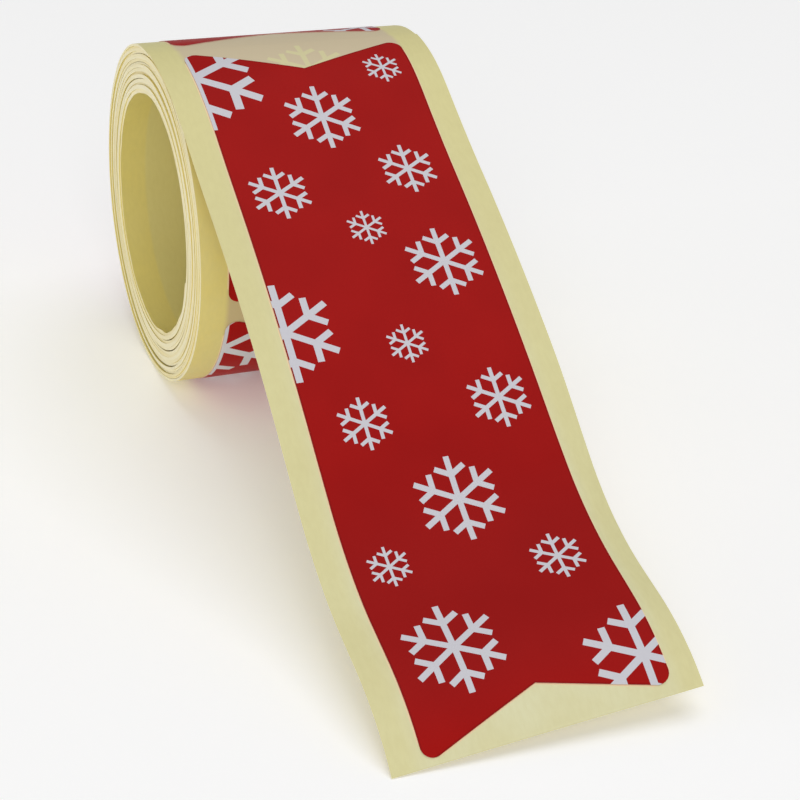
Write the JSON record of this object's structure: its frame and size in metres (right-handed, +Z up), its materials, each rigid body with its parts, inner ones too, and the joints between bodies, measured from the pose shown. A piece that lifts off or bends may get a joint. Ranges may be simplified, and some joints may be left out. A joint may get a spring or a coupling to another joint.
{
  "type": "gift label roll",
  "caption": "Coreless roll of swallow-tailed self-adhesive gift ribbon labels with a snowflake pattern, on a glassine liner whose free tail carries the front label.",
  "frame": {"origin": "on the roll's axis, half way along it", "axes": "+X along the roll's axis, +Z up, the free tail reaches forward along -Y"},
  "size_m": [0.055, 0.1727, 0.0688],
  "materials": {
    "liner": "satin glassine",
    "label": "satin coated paper"
  },
  "bodies": {
    "tail": {"liner_tail": "liner"},
    "roll": {"liner_roll": "liner", "label_02": "label", "label_03": "label", "label_04": "label", "label_05": "label", "label_06": "label", "label_07": "label", "label_08": "label", "label_09": "label", "label_10": "label", "label_11": "label", "label_12": "label", "label_13": "label", "label_14": "label", "label_15": "label", "label_16": "label", "label_17": "label", "label_18": "label", "label_19": "label", "label_20": "label"},
    "front_label": {"label_01": "label"}
  },
  "joints": [
    {"name": "roll_turn", "type": "hinge", "parent": "tail", "child": "roll", "pos_m": [0, 0, 0], "axis": [1, 0, 0], "continuous": true},
    {"name": "label_peel", "type": "hinge", "parent": "tail", "child": "front_label", "pos_m": [0, -0.00455, 0.03436], "axis": [-1, 0, 0], "range_deg": [0, 60]}
  ]
}
